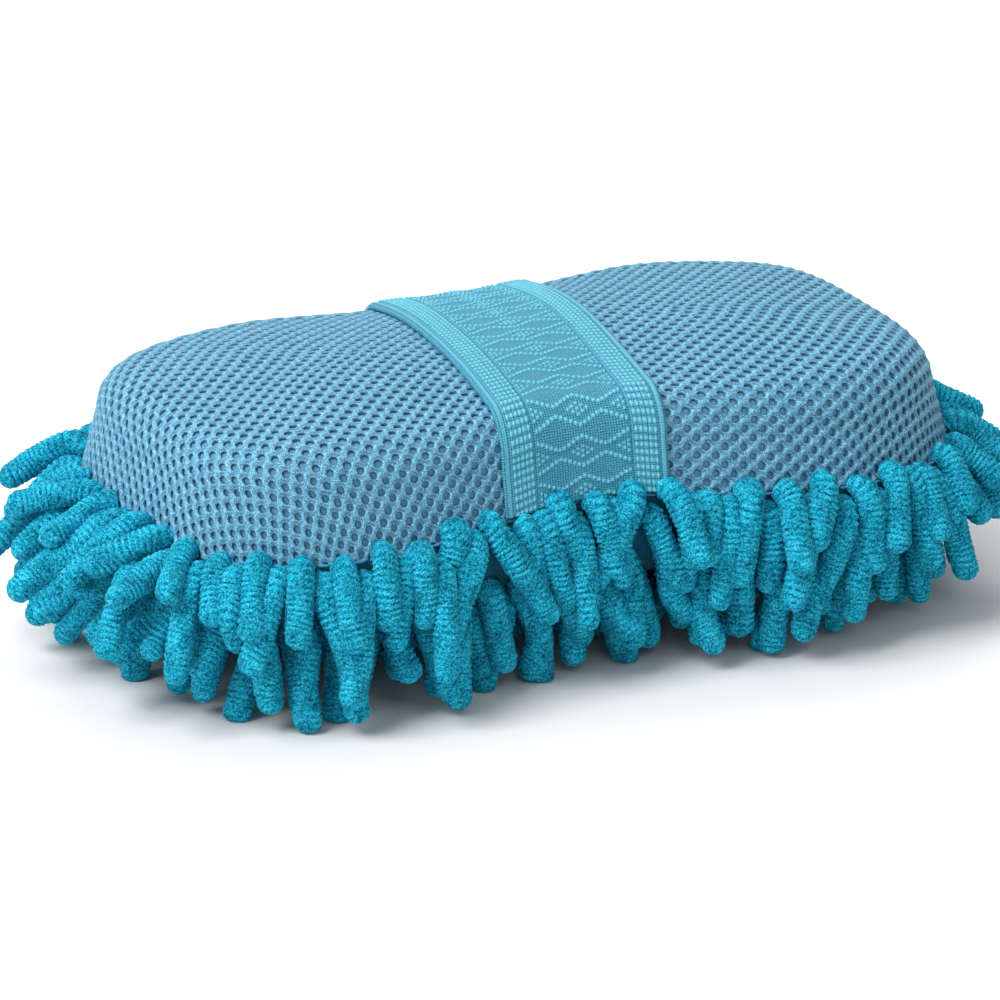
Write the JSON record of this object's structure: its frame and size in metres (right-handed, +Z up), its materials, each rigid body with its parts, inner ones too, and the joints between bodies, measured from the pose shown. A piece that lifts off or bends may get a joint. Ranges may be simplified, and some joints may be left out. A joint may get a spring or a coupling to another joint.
{
  "type": "wash mitt",
  "caption": "Oblong foam wash pad with a mesh top, a wide elastic hand strap across its middle and chenille noodles round its sides and underneath.",
  "frame": {"origin": "centre of the outline on the floor plane under the noodle tips", "axes": "+X along the pad's length, +Y across it towards its back, +Z up through the strap"},
  "size_m": [0.277, 0.1756, 0.0803],
  "materials": {
    "foam": "open-cell foam, matt",
    "mesh": "spacer mesh, light steel blue",
    "knit": "plain knit, mid blue",
    "elastic": "woven elastic, light blue",
    "thread": "sewing thread, blue",
    "chenille": "chenille pile, bright cyan blue"
  },
  "bodies": {
    "pad": {"chenille_cloth": "knit", "foam_core": "foam", "mesh_cover": "mesh", "noodles_edge_back": "chenille", "noodles_edge_front": "chenille", "noodles_edge_left": "chenille", "noodles_edge_right": "chenille", "noodles_lower_back": "chenille", "noodles_lower_front": "chenille", "noodles_lower_left": "chenille", "noodles_lower_right": "chenille", "noodles_middle_back": "chenille", "noodles_middle_front": "chenille", "noodles_middle_left": "chenille", "noodles_middle_right": "chenille", "noodles_under_1": "chenille", "noodles_under_10": "chenille", "noodles_under_2": "chenille", "noodles_under_3": "chenille", "noodles_under_4": "chenille", "noodles_under_5": "chenille", "noodles_under_6": "chenille", "noodles_under_7": "chenille", "noodles_under_8": "chenille", "noodles_under_9": "chenille", "noodles_upper_back": "chenille", "noodles_upper_front": "chenille", "noodles_upper_left": "chenille", "noodles_upper_right": "chenille", "seam_stitches": "thread", "strap_flank_back": "elastic", "strap_flank_front": "elastic"},
    "strap": {"strap_band": "elastic"}
  },
  "joints": [
    {"name": "strap_lift", "type": "slide", "parent": "pad", "child": "strap", "axis": [0, 0, 1], "range_m": [0, 0.03], "stiffness_N_per_m": 400, "deforming": ["strap_flank_front", "strap_flank_back"]}
  ]
}
